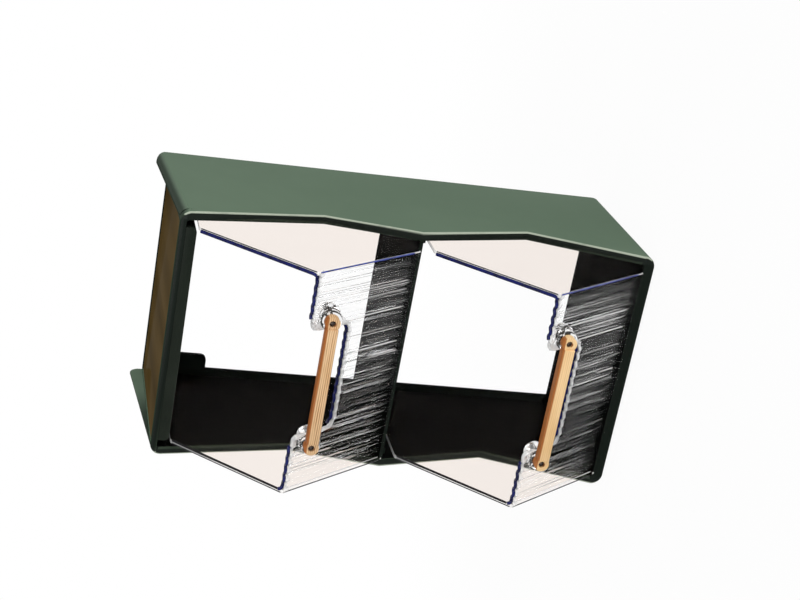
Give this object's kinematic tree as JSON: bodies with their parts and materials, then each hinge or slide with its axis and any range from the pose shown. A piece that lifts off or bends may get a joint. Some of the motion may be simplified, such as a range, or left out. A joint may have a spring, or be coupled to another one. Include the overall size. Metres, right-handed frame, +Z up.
{
  "type": "tea bag organizer",
  "caption": "Two-tier countertop organizer: a dark wrap-around housing with clear, fluted, forward-leaning drawers that slide out by wooden bar handles.",
  "frame": {"origin": "on the floor under the feet, in the middle of the footprint of the housing and the drawer fronts", "axes": "+Z up, the drawers slide out towards -Y, +X to the right seen from the front"},
  "size_m": [0.16, 0.167, 0.3054],
  "materials": {
    "housing_green": "satin",
    "deck_brown": "gloss",
    "clear_plastic": "clear gloss",
    "handle_wood": "satin",
    "dark_steel": "dark",
    "foot_rubber": "matte"
  },
  "bodies": {
    "housing": {"shell": "housing_green", "mid_shelf": "housing_green", "top_board": "deck_brown", "stop_bar": "housing_green", "front_left_foot": "foot_rubber", "front_right_foot": "foot_rubber", "back_left_foot": "foot_rubber", "back_right_foot": "foot_rubber"},
    "upper_drawer_unit": {"upper_drawer": "clear_plastic", "upper_handle": "handle_wood", "upper_left_screw": "dark_steel", "upper_right_screw": "dark_steel", "upper_left_nut": "dark_steel", "upper_right_nut": "dark_steel"},
    "lower_drawer_unit": {"lower_drawer": "clear_plastic", "lower_handle": "handle_wood", "lower_left_screw": "dark_steel", "lower_right_screw": "dark_steel", "lower_left_nut": "dark_steel", "lower_right_nut": "dark_steel"}
  },
  "joints": [
    {"name": "upper_drawer_slide", "type": "slide", "parent": "housing", "child": "upper_drawer_unit", "axis": [0, -1, 0], "range_m": [0, 0.085]},
    {"name": "lower_drawer_slide", "type": "slide", "parent": "housing", "child": "lower_drawer_unit", "axis": [0, -1, 0], "range_m": [0, 0.085]}
  ]
}
